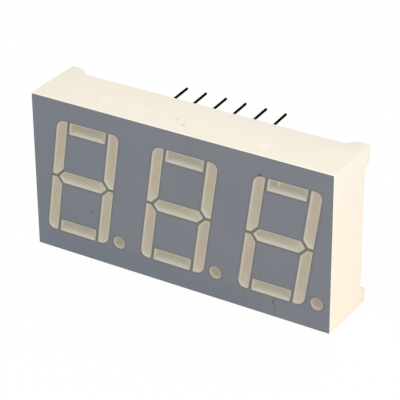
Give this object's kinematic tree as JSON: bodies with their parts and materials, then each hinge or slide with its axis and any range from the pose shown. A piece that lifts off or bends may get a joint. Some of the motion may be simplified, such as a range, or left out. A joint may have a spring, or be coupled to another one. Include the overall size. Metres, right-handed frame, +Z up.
{
  "type": "seven segment display",
  "caption": "Through-hole LED digit display: white reflector housing with a grey face, leaning segment windows, decimal points and two rows of pins.",
  "frame": {"origin": "centre of the field of twelve pins, on the plane where the four corner feet meet a circuit board", "axes": "+X to the right when the face is read, +Y backwards along the pins, +Z up the digits; the display stands on its long side"},
  "size_m": [0.0376, 0.0128, 0.019],
  "materials": {
    "housing_plastic": "moulded satin, cream white",
    "face_coat": "printed matt blue grey",
    "epoxy": "milky cast resin, tan",
    "board_laminate": "glass epoxy laminate",
    "copper": "etched copper foil",
    "gold_wire": "drawn gold",
    "solder": "satin solder",
    "pin_metal": "tinned wire, dulled dark",
    "led_chip": "clear yellow semiconductor chip"
  },
  "bodies": {
    "root": {"reflector_housing": "housing_plastic", "face_coat": "face_coat", "epoxy_fill": "epoxy", "circuit_board": "board_laminate", "copper_foil": "copper", "pin_1": "pin_metal", "pin_2": "pin_metal", "pin_3": "pin_metal", "pin_4": "pin_metal", "pin_5": "pin_metal", "pin_6": "pin_metal", "pin_7": "pin_metal", "pin_8": "pin_metal", "pin_9": "pin_metal", "pin_10": "pin_metal", "pin_11": "pin_metal", "pin_12": "pin_metal", "solder_joint_1": "solder", "solder_joint_2": "solder", "solder_joint_3": "solder", "solder_joint_4": "solder", "solder_joint_5": "solder", "solder_joint_6": "solder", "solder_joint_7": "solder", "solder_joint_8": "solder", "solder_joint_9": "solder", "solder_joint_10": "solder", "solder_joint_11": "solder", "solder_joint_12": "solder", "bond_wires_1": "gold_wire", "bond_wires_2": "gold_wire", "bond_wires_3": "gold_wire", "led_1a": "led_chip", "led_1b": "led_chip", "led_1c": "led_chip", "led_1d": "led_chip", "led_1e": "led_chip", "led_1f": "led_chip", "led_1g": "led_chip", "led_1dp": "led_chip", "led_2a": "led_chip", "led_2b": "led_chip", "led_2c": "led_chip", "led_2d": "led_chip", "led_2e": "led_chip", "led_2f": "led_chip", "led_2g": "led_chip", "led_2dp": "led_chip", "led_3a": "led_chip", "led_3b": "led_chip", "led_3c": "led_chip", "led_3d": "led_chip", "led_3e": "led_chip", "led_3f": "led_chip", "led_3g": "led_chip", "led_3dp": "led_chip"}
  },
  "joints": []
}
